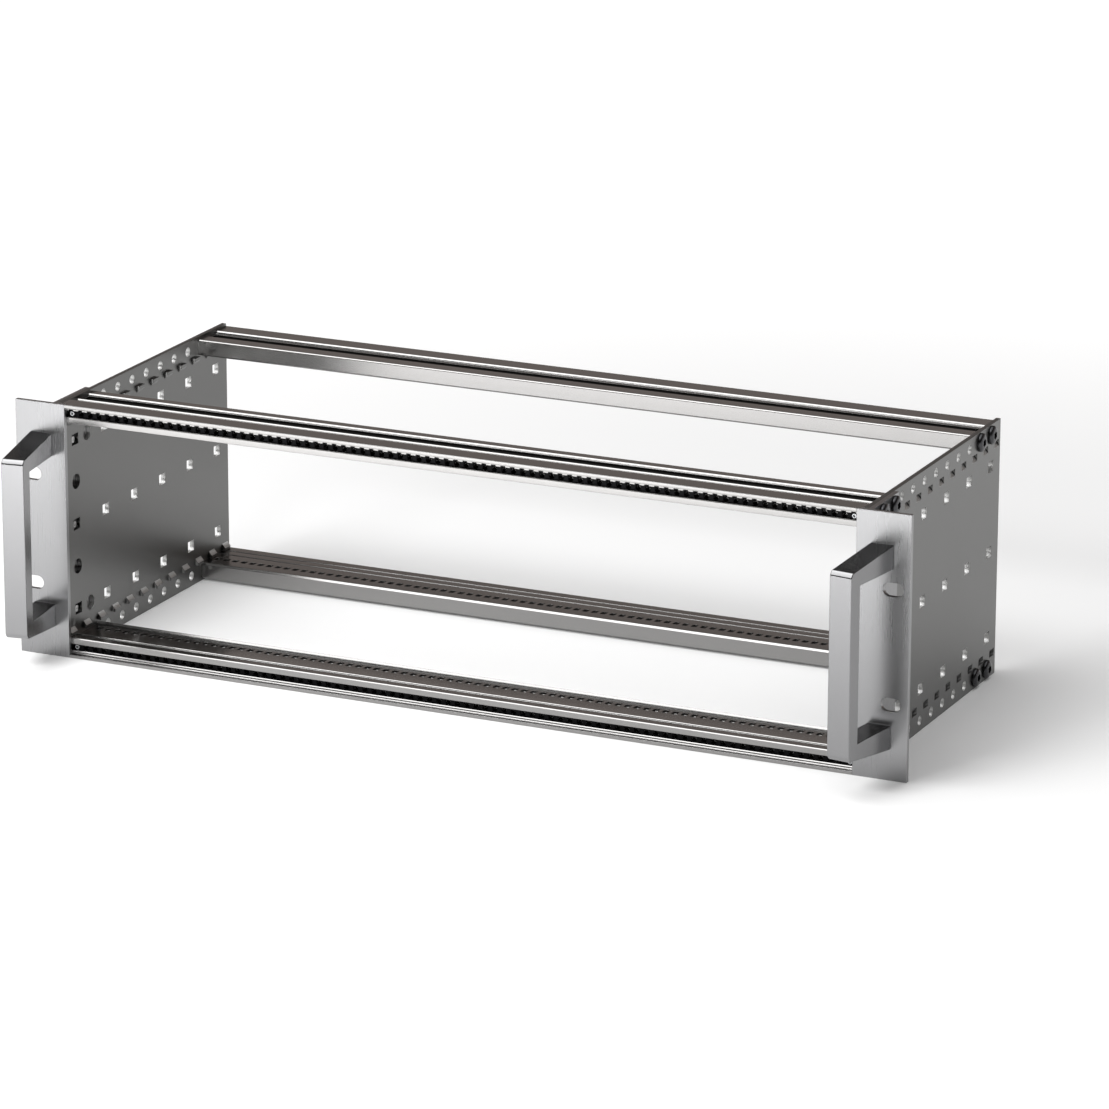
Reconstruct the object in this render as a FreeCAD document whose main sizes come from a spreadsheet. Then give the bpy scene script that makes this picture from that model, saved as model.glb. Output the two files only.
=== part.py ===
import FreeCAD, Part
import math
import os
import re

import Sketcher
from FreeCAD import Rotation, Vector

# Card cage of three rack units and eighty-four horizontal units, nineteen inches over the ears.
# The origin is the middle of the opening, in the plane of the ears' front faces, midway between
# the rack slots.
# X runs to the right along the rails, Y runs from the front to the rear, and Z runs up.
os.makedirs("parts", exist_ok=True)
doc = FreeCAD.newDocument("card_cage")

# Driving dimensions, in millimetres, degrees and counts.
# An inset is measured inward from the cage's top or bottom edge, a depth rearward from the ear's face.
DIMENSIONS = (
    ("cage_height", 132.55, "three rack units less the gap to the next cage"),
    ("ear_width", 27.94, "ear, from the opening's edge outward"),
    ("unit_pitch", 5.08, "one horizontal unit"),
    ("unit_count", 84, "units across the opening"),
    ("rail_overhang", 2.54, "rail length beyond the opening, to the side panel"),
    ("panel_thickness", 2.5, "side panel sheet"),
    ("ear_thickness", 2.5, "front plate of the bracket"),
    ("flange_thickness", 2.5, "bracket flange along the outside of the panel"),
    ("flange_margin", 5, "flange past its second screw"),
    ("rack_slot_spacing", 57.15, "height between the two rack slots of an ear"),
    ("rack_slot_inset", 8.75, "ear's outer edge to the middle of a rack slot"),
    ("rack_slot_length", 10.4, "rack slot over its round ends"),
    ("rack_slot_width", 6.8, "rack slot height"),
    ("screw_depth_first", 15, "first screw of a rail end, and the first hole of the panel's rows"),
    ("screw_step", 15, "pitch of the panel's rows"),
    ("screw_row_count", 11, "round holes in each edge row of the panel"),
    ("rear_margin", 12.5, "panel past the last hole of its rows"),
    ("screw_inset", 5.45, "edge row and rail bores"),
    ("screw_hole_radius", 2.4, "clearance hole for a rail screw"),
    ("window_width", 6.4, "rectangular panel hole along the depth"),
    ("window_height", 5.6, "rectangular panel hole, height"),
    ("window_rise", 44.45, "height between the three rows of rectangular holes"),
    ("vent_radius", 3.85, "large round holes near the panel's front"),
    ("vent_outer_depth", 27.3, "outer pair of round holes, depth"),
    ("vent_outer_rise", 44.85, "outer pair of round holes, from mid height"),
    ("vent_inner_depth", 15.25, "inner pair of round holes, depth"),
    ("vent_inner_rise", 22.3, "inner pair of round holes, from mid height"),
    ("lug_length", 6, "lug along the depth"),
    ("lug_reach", 1.8, "how far a lug stands out of the panel"),
    ("lug_clearance", 0.1, "between a rail and a lug's sheared end"),
    ("lug_flat", 1.5, "flat top of a lug, height"),
    ("lug_ramp", 2.2, "sloping end of a lug, height"),
    ("lip_thickness", 1.8, "front lip of the front rail"),
    ("plate_end", 10.7, "rear edge of the front rail's top plate, depth"),
    ("land_inset", 1.3, "outer lands of the rails"),
    ("front_groove_inset", 2.2, "floor of the groove behind the plate"),
    ("front_groove_width", 6.5, "groove between the plate and the ridge"),
    ("ridge_thickness", 0.7, "thin ridge behind that groove"),
    ("back_groove_inset", 2.3, "floor of the groove behind the ridge"),
    ("rear_land_width", 6.1, "land behind that groove"),
    ("rail_margin", 4.5, "front rail past its second bore"),
    ("rail_inset", 9.9, "inner faces of the rails"),
    ("bore_wall", 0.75, "thin web of the front rail under its bores"),
    ("foot_inset", 9.6, "rear foot of the front rail, lower end"),
    ("foot_thickness", 1.2, "rear foot of the front rail"),
    ("cavity_wall", 0.6, "inner lip of the front rail behind the strip cavity"),
    ("bead_gap", 0.6, "from the inner lip to the bead behind it"),
    ("bead_thickness", 0.6, "small bead on the web"),
    ("bead_inset", 9.2, "lower end of the beads"),
    ("second_bead_depth", 12, "second bead on the web, depth"),
    ("channel_inset", 5.025, "middle of the strip channel"),
    ("channel_width", 3.2, "mouth of the strip channel"),
    ("channel_wall", 1.4, "lips that hold the strip"),
    ("cavity_width", 6.8, "strip cavity, height"),
    ("cavity_depth", 2.7, "strip cavity from its lips to its back wall"),
    ("bore_radius", 2, "rail bores and the screws' threads"),
    ("perforation_width", 3, "perforations along the rail"),
    ("perforation_sink", 0.6, "perforations, how deep they are pressed"),
    ("front_perforation_length", 4, "front rail perforations along the depth"),
    ("front_perforation_margin", 7.2, "their middle from the front rail's rear face"),
    ("rear_perforation_length", 3.8, "rear rail perforations along the depth"),
    ("rear_perforation_margin", 9.7, "their middle from the rear rail's front face"),
    ("rear_rail_margin", 4.2, "rear rail ahead of its first bore"),
    ("rear_bevel", 0.6, "bevel on the outer front edge of the rear rail"),
    ("rear_inner_bevel", 1, "bevel on the inner front edge of the rear rail"),
    ("rear_groove_start", 8.5, "outer groove from the rear rail's front face"),
    ("rear_groove_width", 11.5, "width of that groove"),
    ("rear_groove_sink", 1.1, "how deep that groove is"),
    ("score_first", 18.2, "first score line from the rear rail's front face"),
    ("score_second", 24.7, "second score line from the rear rail's front face"),
    ("score_width", 1, "score line width"),
    ("score_sink", 0.4, "score line, how deep"),
    ("strip_thickness", 2.5, "threaded strip"),
    ("strip_side_gap", 0.1, "between the strip's edges and the cavity"),
    ("strip_end_gap", 0.4, "from the strip's end to the opening's edge"),
    ("set_screw_radius", 1.25, "set screws and the strip bores that hold them"),
    ("set_screw_length", 3, "set screws, off the cavity's back wall"),
    ("head_radius", 4.7, "rail screw head"),
    ("head_height", 2.2, "rail screw head"),
    ("screw_length", 14, "rail screw under its head"),
    ("handle_inset", 14.52, "ear's outer edge to the middle of the handle"),
    ("handle_width", 11.85, "handle across"),
    ("handle_yaw", 7.8, "how far a handle leans toward the middle of the cage"),
    ("handle_reach", 39.2, "handle from the ear to its front"),
    ("handle_height", 101.45, "handle at the ear"),
    ("handle_taper", 4.45, "how far a leg's outer face falls over its reach"),
    ("handle_bevel_reach", 1.6, "front corner bevel along the reach"),
    ("handle_bevel_fall", 1.95, "front corner bevel, height"),
    ("grip_thickness", 8.6, "grip between the legs"),
    ("leg_height", 12.025, "handle leg at the ear, with the finger gap between the legs"),
    ("handle_screw_radius", 2.5, "handle screws and their bores in the legs"),
    ("handle_screw_hole_radius", 2.65, "clearance holes in the ear"),
    ("handle_screw_length", 12, "handle screw under its head"),
    ("bore_clearance", 1.5, "bore in a leg past the screw's end"),
    ("handle_head_radius", 4.25, "handle screw head"),
    ("handle_head_height", 3, "handle screw head"),
    ("pin_radius", 2, "locating pins of the brackets"),
    ("pin_seat", 1.5, "how far a pin sits in the flange"),
    ("pin_recess", 1.2, "from the panel's inner face to the pin's end"),
    ("pin_drop", 0.4, "how far a pin lies below the middle of its hole"),
    ("round_faces", 8, "faces of a small round hole, bore, screw or pin"),
)

sheet = doc.addObject("Spreadsheet::Sheet", "sizes")
for row, (alias, number, meaning) in enumerate(DIMENSIONS, start=1):
    sheet.set(f"A{row}", meaning)
    sheet.set(f"B{row}", str(number))
    sheet.setAlias(f"B{row}", alias)
doc.recompute()
ALIASES = {alias for alias, number, meaning in DIMENSIONS}

# Places that several pieces share, as expressions of the driving dimensions
HALF_OPENING = "unit_pitch * unit_count / 2"
PANEL_INNER = f"({HALF_OPENING} + rail_overhang)"
PANEL_OUTER = f"({PANEL_INNER} + panel_thickness)"
FLANGE_OUTER = f"({PANEL_OUTER} + flange_thickness)"
EAR_OUTER = f"({HALF_OPENING} + ear_width)"
CAGE_REAR = "(screw_depth_first + (screw_row_count - 1) * screw_step + rear_margin)"
REAR_SCREW = "(screw_depth_first + (screw_row_count - 2) * screw_step)"
REAR_RAIL_FRONT = f"({REAR_SCREW} - rear_rail_margin)"
FRONT_RAIL_END = "(screw_depth_first + screw_step + rail_margin)"
WEB_INSET = "(screw_inset + bore_radius + bore_wall)"
CAVITY_FRONT = "(ear_thickness + channel_wall)"
CAVITY_BACK = f"({CAVITY_FRONT} + cavity_depth)"
HANDLE_MIDDLE = f"({EAR_OUTER} - handle_inset)"
HANDLE_SCREW_RISE = "(handle_height - leg_height) / 2"
FIRST_UNIT = "(unit_pitch / 2 - unit_pitch * unit_count / 2)"
SIDES = (("left", "-"), ("right", ""))
ENDS = ("bottom", "top")
WAYS = ("-", "")


def formula(words):
    """Turn the names of dimensions into references to the sheet."""
    return re.sub(r"[a-z_]+", lambda found: f"sizes.{found[0]}" if found[0] in ALIASES else found[0], words)


def amount(words):
    """The present value of an expression, as a plain number."""
    found = sheet.evalExpression(formula(words))
    return float(getattr(found, "Value", found))


def bind(feature, path, words):
    feature.setExpression(path, formula(words))


def height_at(inset, end):
    """Height of a place given by its inset from the bottom or the top edge."""
    return f"(cage_height / 2 - ({inset}))" if end == "top" else f"({inset} - cage_height / 2)"


def new_body(label):
    body = doc.addObject("PartDesign::Body", label)
    body.Label = label
    return body


def origin_of(body, role):
    """One of the body's own base planes or axes."""
    return next(item for item in body.Origin.OriginFeatures if item.Role == role)


def new_sketch(body, name, plane, offset="0"):
    """A sketch on a base plane of its body, shifted along the plane's normal."""
    drawing = body.newObject("Sketcher::SketchObject", name)
    drawing.AttachmentSupport = [(origin_of(body, plane), "")]
    drawing.MapMode = "FlatFace"
    bind(drawing, "AttachmentOffset.Base.z", offset)
    return drawing


def place_point(drawing, geometry, point, across, up):
    """Fix one point of a sketch by two expressions."""
    for kind, words in (("DistanceX", across), ("DistanceY", up)):
        index = drawing.addConstraint(Sketcher.Constraint(kind, geometry, point, amount(words)))
        bind(drawing, f"Constraints[{index}]", words)


def outline(drawing, corners):
    """A closed outline of straight edges, each corner a pair of expressions."""
    points = [Vector(amount(across), amount(up), 0) for across, up in corners]
    lines = [drawing.addGeometry(Part.LineSegment(start, end), False)
             for start, end in zip(points, points[1:] + points[:1])]
    for line, following, (across, up) in zip(lines, lines[1:] + lines[:1], corners):
        drawing.addConstraint(Sketcher.Constraint("Coincident", line, 2, following, 1))
        place_point(drawing, line, 1, across, up)


def rectangle(drawing, middle, size):
    """A rectangle about a middle point."""
    (across, up), (width, height) = middle, size
    left, right = f"{across} - {width} / 2", f"{across} + {width} / 2"
    low, high = f"{up} - {height} / 2", f"{up} + {height} / 2"
    outline(drawing, ((left, low), (right, low), (right, high), (left, high)))


def ring(drawing, middle, radius):
    """A small round outline as a regular polygon, so that what repeats often stays light."""
    across, up = middle
    turn = "360 / round_faces"
    outline(drawing, [(f"{across} + {radius} * cos({step} * {turn})", f"{up} + {radius} * sin({step} * {turn})")
                      for step in range(round(amount("round_faces")))])


def slot(drawing, middle, length, width):
    """A level slot with round ends."""
    across, up = middle
    reach = f"({length} - {width}) / 2"
    radius = amount(f"{width} / 2")
    arcs = []
    for sign, first, last in (("+", -0.5, 0.5), ("-", 0.5, 1.5)):
        centre = (f"{across} {sign} {reach}", up)
        ring = Part.Circle(Vector(amount(centre[0]), amount(up), 0), Vector(0, 0, 1), radius)
        arcs.append(drawing.addGeometry(Part.ArcOfCircle(ring, first * math.pi, last * math.pi), False))
        place_point(drawing, arcs[-1], 3, *centre)
        index = drawing.addConstraint(Sketcher.Constraint("Radius", arcs[-1], radius))
        bind(drawing, f"Constraints[{index}]", f"{width} / 2")
    right, left = arcs
    curves = drawing.Geometry
    for start, end in ((right, left), (left, right)):
        edge = Part.LineSegment(curves[start].EndPoint, curves[end].StartPoint)
        line = drawing.addGeometry(edge, False)
        drawing.addConstraint(Sketcher.Constraint("Tangent", start, 2, line, 1))
        drawing.addConstraint(Sketcher.Constraint("Tangent", line, 2, end, 1))


def pad(body, drawing, name, length, midplane=False, backward=False):
    """Raise a sketch into a solid."""
    solid = body.newObject("PartDesign::Pad", name)
    solid.Profile = drawing
    solid.Midplane = midplane
    solid.Reversed = backward
    bind(solid, "Length", length)
    return solid


def pocket(body, drawing, name, length=None, midplane=False, backward=False):
    """Cut a sketch away, right through both ways where no length is given."""
    hollow = body.newObject("PartDesign::Pocket", name)
    hollow.Profile = drawing
    hollow.Midplane = midplane or length is None
    hollow.Reversed = backward
    if length is None:
        hollow.Type = "ThroughAll"
    else:
        hollow.Type = "Length"
        bind(hollow, "Length", length)
    return hollow


def row_of(body, features, name, axis, step, count):
    """Repeat features in a row along a base axis of the body."""
    pattern = body.newObject("PartDesign::LinearPattern", name)
    pattern.Originals = features
    pattern.Direction = (origin_of(body, axis), [""])
    bind(pattern, "Length", f"{step} * ({count} - 1)")
    bind(pattern, "Occurrences", count)
    body.Tip = pattern
    return pattern


def side_panel(side, sign):
    """Sheet side plate with its rows of holes, its pressed lugs and their recesses."""
    body = new_body(f"side_panel_{side}")
    outward = sign == "-"

    plate = new_sketch(body, f"{side}_plate_outline", "YZ_Plane", f"{sign}{PANEL_INNER}")
    outline(plate, (("ear_thickness", "-cage_height / 2"), (CAGE_REAR, "-cage_height / 2"),
                    (CAGE_REAR, "cage_height / 2"), ("ear_thickness", "cage_height / 2")))
    pad(body, plate, f"{side}_plate", "panel_thickness", backward=outward)

    edge_holes = new_sketch(body, f"{side}_edge_hole_outlines", "YZ_Plane")
    for end in ENDS:
        ring(edge_holes, ("screw_depth_first", height_at("screw_inset", end)), "screw_hole_radius")
    edge_pair = pocket(body, edge_holes, f"{side}_edge_holes")
    row_of(body, [edge_pair], f"{side}_edge_hole_rows", "Y_Axis", "screw_step", "screw_row_count")

    windows = new_sketch(body, f"{side}_window_outlines", "YZ_Plane")
    for place in (-1, 0, 1):
        rectangle(windows, ("screw_depth_first", f"{place} * window_rise"), ("window_width", "window_height"))
    window_column = pocket(body, windows, f"{side}_windows")
    row_of(body, [window_column], f"{side}_window_rows", "Y_Axis", "2 * screw_step",
           "floor((screw_row_count + 1) / 2)")

    vents = new_sketch(body, f"{side}_vent_outlines", "YZ_Plane")
    for way in WAYS:
        ring(vents, ("vent_outer_depth", f"{way}vent_outer_rise"), "vent_radius")
        ring(vents, ("vent_inner_depth", f"{way}vent_inner_rise"), "vent_radius")
    pocket(body, vents, f"{side}_vents")

    # A lug is half sheared: its square end faces the rail, and the other end slopes back to the sheet.
    first = "-(screw_depth_first - screw_step / 2)"
    raised = new_sketch(body, f"{side}_lug_outlines", "XZ_Plane", first)
    sunk = new_sketch(body, f"{side}_recess_outlines", "XZ_Plane", first)
    for end in ENDS:
        sheared = "rail_inset + lug_clearance"
        levels = [height_at(inset, end) for inset in (
            sheared, f"{sheared} + lug_flat", f"{sheared} + lug_flat + lug_ramp")]
        for drawing, face in ((raised, PANEL_INNER), (sunk, PANEL_OUTER)):
            flush, stepped = f"{sign}{face}", f"{sign}({face} - lug_reach)"
            outline(drawing, ((flush, levels[0]), (stepped, levels[0]), (stepped, levels[1]),
                              (flush, levels[2])))
    lugs = pad(body, raised, f"{side}_lugs", "lug_length", midplane=True)
    recesses = pocket(body, sunk, f"{side}_lug_recesses", "lug_length", midplane=True)
    row_of(body, [lugs, recesses], f"{side}_lug_rows", "Y_Axis", "screw_step", "screw_row_count + 1")
    return body


def front_bracket(side, sign):
    """Extruded angle: the ear plate in front and the flange along the outside of the panel."""
    body = new_body(f"front_bracket_{side}")
    section = new_sketch(body, f"{side}_bracket_section", "XY_Plane")
    ear_inner, ear_outer = f"{sign}({HALF_OPENING})", f"{sign}{EAR_OUTER}"
    flange_inner, flange_outer = f"{sign}{PANEL_OUTER}", f"{sign}{FLANGE_OUTER}"
    flange_end = "screw_depth_first + screw_step + flange_margin"
    outline(section, ((ear_inner, "0"), (ear_outer, "0"), (ear_outer, "ear_thickness"),
                      (flange_outer, "ear_thickness"), (flange_outer, flange_end),
                      (flange_inner, flange_end), (flange_inner, "ear_thickness"),
                      (ear_inner, "ear_thickness")))
    pad(body, section, f"{side}_bracket_bar", "cage_height", midplane=True)

    slots = new_sketch(body, f"{side}_rack_slot_outlines", "XZ_Plane")
    for way in WAYS:
        middle = (f"{sign}({EAR_OUTER} - rack_slot_inset)", f"{way}rack_slot_spacing / 2")
        slot(slots, middle, "rack_slot_length", "rack_slot_width")
        ring(slots, (f"{sign}{HANDLE_MIDDLE}", f"{way}{HANDLE_SCREW_RISE}"), "handle_screw_hole_radius")
    pocket(body, slots, f"{side}_rack_slots")

    holes = new_sketch(body, f"{side}_flange_hole_outlines", "YZ_Plane", flange_inner)
    for end in ENDS:
        for step in (0, 1):
            ring(holes, (f"screw_depth_first + {step} * screw_step", height_at("screw_inset", end)),
                 "screw_hole_radius")
    pocket(body, holes, f"{side}_flange_holes", "flange_thickness", backward=sign == "")

    seats = new_sketch(body, f"{side}_pin_seat_outlines", "YZ_Plane", flange_inner)
    for place in (-1, 0, 1):
        ring(seats, ("screw_depth_first", f"{place} * window_rise - pin_drop"), "pin_radius")
    pocket(body, seats, f"{side}_pin_seats", "pin_seat", backward=sign == "")
    return body


def handle(side, sign):
    """One-piece handle: two tapered legs and a grip, cut flush where it meets the ear."""
    body = new_body(f"handle_{side}")
    lean = "" if sign else "-"
    body.Placement.Rotation = Rotation(Vector(0, 0, 1), amount(f"{lean}handle_yaw"))
    bind(body, "Placement.Rotation.Angle", f"{lean}handle_yaw")
    bind(body, "Placement.Base.x", f"{sign}{HANDLE_MIDDLE}")

    # The legs run on behind the ear's face, where the slanting cut then takes them off.
    overrun = "handle_width"
    slope = "handle_taper / handle_reach"
    bevel_start = "(handle_reach - handle_bevel_reach)"
    corners = [(overrun, f"handle_height / 2 + {slope} * {overrun}"),
               (f"-{bevel_start}", f"handle_height / 2 - {slope} * {bevel_start}"),
               ("-handle_reach", "handle_height / 2 - handle_taper - handle_bevel_fall")]
    gap_end = "(handle_height / 2 - leg_height)"
    inner = [("-(handle_reach - grip_thickness)", gap_end), (overrun, gap_end)]
    bow = new_sketch(body, f"{side}_handle_outline", "YZ_Plane")
    outline(bow, corners + [(along, f"-({rise})") for along, rise in reversed(corners)]
            + [(along, f"-{rise}") for along, rise in reversed(inner)] + inner)
    pad(body, bow, f"{side}_handle_bar", "handle_width", midplane=True)

    rise = "handle_width * tan(handle_yaw)"
    trim = new_sketch(body, f"{side}_trim_outline", "XY_Plane")
    outline(trim, (("-handle_width", f"{lean}{rise}"), ("handle_width", f"{sign}{rise}"),
                   ("handle_width", f"2 * {overrun}"), ("-handle_width", f"2 * {overrun}")))
    pocket(body, trim, f"{side}_trim")

    bores = new_sketch(body, f"{side}_handle_bore_outlines", "XZ_Plane")
    bores.AttachmentOffset.Rotation = Rotation(Vector(0, 1, 0), amount("handle_yaw"))
    bind(bores, "AttachmentOffset.Rotation.Angle", f"{sign}handle_yaw")
    for way in WAYS:
        ring(bores, ("0", f"{way}{HANDLE_SCREW_RISE}"), "handle_screw_radius")
    depth = "(handle_screw_length - ear_thickness + bore_clearance)"
    pocket(body, bores, f"{side}_handle_bores", f"2 * {depth}", midplane=True)
    return body


def perforations(body, name, end, inset, middle, length):
    """A row of shallow rectangular perforations, one in each unit, in a rail's inner face."""
    drawing = new_sketch(body, f"{name}_perforation_outline", "XY_Plane", height_at(inset, end))
    rectangle(drawing, (FIRST_UNIT, middle), ("perforation_width", length))
    first = pocket(body, drawing, f"{name}_perforation", "perforation_sink", backward=end == "top")
    row_of(body, [first], f"{name}_perforation_row", "X_Axis", "unit_pitch", "unit_count")


def front_rail(end):
    """Extruded front rail with its lip, its strip channel, its grooves and its rear foot."""
    name = f"front_rail_{end}"
    body = new_body(name)
    channel_outer = "channel_inset - channel_width / 2"
    channel_inner = "channel_inset + channel_width / 2"
    cavity_outer = "channel_inset - cavity_width / 2"
    cavity_inner = "channel_inset + cavity_width / 2"
    ridge_start, foot_front = "plate_end + front_groove_width", f"{FRONT_RAIL_END} - foot_thickness"
    ridge_end, land_start = f"{ridge_start} + ridge_thickness", f"{FRONT_RAIL_END} - rear_land_width"
    lip_end = f"{CAVITY_BACK} + cavity_wall"
    corners = [("ear_thickness", "0"), ("plate_end", "0"), ("plate_end", "front_groove_inset"),
               (ridge_start, "front_groove_inset"), (ridge_start, "land_inset"),
               (ridge_end, "land_inset"), (ridge_end, "back_groove_inset"),
               (land_start, "back_groove_inset"), (land_start, "land_inset"),
               (FRONT_RAIL_END, "land_inset"), (FRONT_RAIL_END, "foot_inset"),
               (foot_front, "foot_inset"), (foot_front, WEB_INSET)]
    for bead in ("second_bead_depth", f"{lip_end} + bead_gap"):
        corners += [(f"{bead} + bead_thickness", WEB_INSET), (f"{bead} + bead_thickness", "bead_inset"),
                    (bead, "bead_inset"), (bead, WEB_INSET)]
    corners += [(lip_end, WEB_INSET), (lip_end, "rail_inset"), ("ear_thickness", "rail_inset"),
                ("ear_thickness", channel_inner), (CAVITY_FRONT, channel_inner),
                (CAVITY_FRONT, cavity_inner), (CAVITY_BACK, cavity_inner), (CAVITY_BACK, cavity_outer),
                (CAVITY_FRONT, cavity_outer), (CAVITY_FRONT, channel_outer),
                ("ear_thickness", channel_outer)]
    section = new_sketch(body, f"{name}_section", "YZ_Plane")
    outline(section, [(depth, height_at(inset, end)) for depth, inset in corners])
    for step in (0, 1):
        ring(section, (f"screw_depth_first + {step} * screw_step", height_at("screw_inset", end)),
             "bore_radius")
    pad(body, section, f"{name}_bar", f"2 * {PANEL_INNER}", midplane=True)

    # The lip is cut back at both ends, where the ears take its place.
    lip = new_sketch(body, f"{name}_lip_section", "YZ_Plane")
    outline(lip, [(depth, height_at(inset, end)) for depth, inset in (
        ("0", "0"), ("ear_thickness", "0"), ("ear_thickness", "lip_thickness"), ("0", "lip_thickness"))])
    pad(body, lip, f"{name}_lip", "unit_pitch * unit_count", midplane=True)

    middle = f"{FRONT_RAIL_END} - front_perforation_margin"
    perforations(body, name, end, WEB_INSET, middle, "front_perforation_length")
    return body


def rear_rail(end):
    """Extruded rear rail with its outer groove, its bevels and its score lines."""
    name = f"rear_rail_{end}"
    body = new_body(name)
    front = REAR_RAIL_FRONT
    corners = [(f"{front} + rear_bevel", "land_inset"), (f"{front} + rear_groove_start", "land_inset"),
               (f"{front} + rear_groove_start", "land_inset + rear_groove_sink"),
               (f"{front} + rear_groove_start + rear_groove_width", "land_inset + rear_groove_sink"),
               (f"{front} + rear_groove_start + rear_groove_width", "land_inset"), (CAGE_REAR, "land_inset"),
               (CAGE_REAR, "rail_inset")]
    for score in ("score_second", "score_first"):
        start = f"{front} + {score}"
        corners += [(f"{start} + score_width", "rail_inset"),
                    (f"{start} + score_width", "rail_inset - score_sink"),
                    (start, "rail_inset - score_sink"), (start, "rail_inset")]
    corners += [(f"{front} + rear_inner_bevel", "rail_inset"), (front, "rail_inset - rear_inner_bevel"),
                (front, "land_inset + rear_bevel")]
    section = new_sketch(body, f"{name}_section", "YZ_Plane")
    outline(section, [(depth, height_at(inset, end)) for depth, inset in corners])
    for step in (0, 1):
        ring(section, (f"{REAR_SCREW} + {step} * screw_step", height_at("screw_inset", end)), "bore_radius")
    pad(body, section, f"{name}_bar", f"2 * {PANEL_INNER}", midplane=True)
    middle = f"{front} + rear_perforation_margin"
    perforations(body, name, end, "rail_inset", middle, "rear_perforation_length")
    return body


def threaded_strip(end):
    """Flat strip in the front rail's channel, against the channel's lips."""
    name = f"threaded_strip_{end}"
    body = new_body(name)
    section = new_sketch(body, f"{name}_section", "YZ_Plane")
    rectangle(section, (f"{CAVITY_FRONT} + strip_thickness / 2", height_at("channel_inset", end)),
              ("strip_thickness", "(cavity_width - 2 * strip_side_gap)"))
    pad(body, section, f"{name}_bar", "unit_pitch * unit_count - 2 * strip_end_gap", midplane=True)
    bores = new_sketch(body, f"{name}_bore_outlines", "XZ_Plane")
    for way in WAYS:
        ring(bores, (f"{way}{FIRST_UNIT}", height_at("channel_inset", end)), "set_screw_radius")
    pocket(body, bores, f"{name}_bores")
    return body


def screw_pattern(name, radius, length, head=None):
    """A screw about Z with its head's seat at height zero, to be placed by the groups below."""
    body = new_body(name)
    shank = new_sketch(body, f"{name}_shank_outline", "XY_Plane")
    ring(shank, ("0", "0"), radius)
    pad(body, shank, f"{name}_shank", length, backward=True)
    if head:
        rim = new_sketch(body, f"{name}_head_outline", "XY_Plane")
        ring(rim, ("0", "0"), head[0])
        pad(body, rim, f"{name}_head", head[1])
    return body


def group(label, pattern, way, places):
    """Copies of one screw, as separate solids in one node. The heads point along the given way."""
    copies = []
    turn = Rotation(Vector(0, 0, 1), Vector(*way))
    for number, place in enumerate(places, start=1):
        copy = doc.addObject("App::Link", f"{label}_{number}")
        copy.LinkedObject = pattern
        copy.LinkTransform = False
        copy.Placement.Rotation = turn
        for axis, words in zip("xyz", place):
            bind(copy, f"Placement.Base.{axis}", words)
        copies.append(copy)
    node = doc.addObject("Part::Compound", label)
    node.Label = label
    node.Links = copies
    return node


def rail_screws(pattern, region, side, sign):
    """Two screws in each rail end on one side, through the panel, and in front the flange too."""
    first = "screw_depth_first" if region == "front" else REAR_SCREW
    seat = FLANGE_OUTER if region == "front" else PANEL_OUTER
    places = [(f"{sign}{seat}", f"{first} + {step} * screw_step", height_at("screw_inset", end))
              for end in ENDS for step in (0, 1)]
    way = (-1, 0, 0) if sign else (1, 0, 0)
    return group(f"rail_screws_{region}_{side}", pattern, way, places)


def handle_screws(pattern, side, sign):
    """Two screws from behind an ear into the handle's legs."""
    places = [(f"{sign}{HANDLE_MIDDLE}", "ear_thickness", f"{way}{HANDLE_SCREW_RISE}") for way in WAYS]
    return group(f"handle_screws_{side}", pattern, (0, 1, 0), places)


def strip_screws(pattern, end):
    """A set screw near each end of a strip, off the back wall of the channel."""
    places = [(f"{way}{FIRST_UNIT}", f"{CAVITY_BACK} - set_screw_length", height_at("channel_inset", end))
              for way in WAYS]
    return group(f"strip_screws_{end}", pattern, (0, -1, 0), places)


def bracket_pins(side, sign):
    """Three round pins pressed into the flange, each ending inside a hole of the panel."""
    pins = []
    for place in (-1, 0, 1):
        pin = doc.addObject("Part::Prism", f"{side}_pin_{place + 2}")
        bind(pin, "Polygon", "round_faces")
        bind(pin, "Circumradius", "pin_radius")
        bind(pin, "Height", "panel_thickness - pin_recess + pin_seat")
        pin.Placement.Rotation = Rotation(Vector(0, 0, 1), Vector(-1 if sign else 1, 0, 0))
        bind(pin, "Placement.Base.x", f"{sign}({PANEL_INNER} + pin_recess)")
        bind(pin, "Placement.Base.y", "screw_depth_first")
        bind(pin, "Placement.Base.z", f"{place} * window_rise - pin_drop")
        pins.append(pin)
    node = doc.addObject("Part::Compound", f"bracket_pins_{side}")
    node.Label = f"bracket_pins_{side}"
    node.Links = pins
    return node


rail_screw = screw_pattern("rail_screw", "bore_radius", "screw_length", ("head_radius", "head_height"))
handle_screw = screw_pattern("handle_screw", "handle_screw_radius", "handle_screw_length",
                             ("handle_head_radius", "handle_head_height"))
set_screw = screw_pattern("set_screw", "set_screw_radius", "set_screw_length")

nodes = []
for side, sign in SIDES:
    nodes += [side_panel(side, sign), front_bracket(side, sign), handle(side, sign)]
    nodes += [rail_screws(rail_screw, region, side, sign) for region in ("front", "rear")]
    nodes += [handle_screws(handle_screw, side, sign), bracket_pins(side, sign)]
for end in ENDS:
    nodes += [front_rail(end), rear_rail(end), threaded_strip(end), strip_screws(set_screw, end)]
doc.recompute()

for item in doc.Objects:
    if "Invalid" in item.State or "Error" in item.State:
        raise RuntimeError(f"{item.Label} failed: {item.State}")
for node in nodes:
    if node.Shape.isNull() or not node.Shape.isValid():
        raise RuntimeError(f"{node.Label} has no valid shape")
for node in nodes:
    node.Shape.exportStep(f"parts/{node.Label}.step")
    print(node.Label, len(node.Shape.Solids), "solids,", round(node.Shape.Volume), "mm3")
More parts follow.
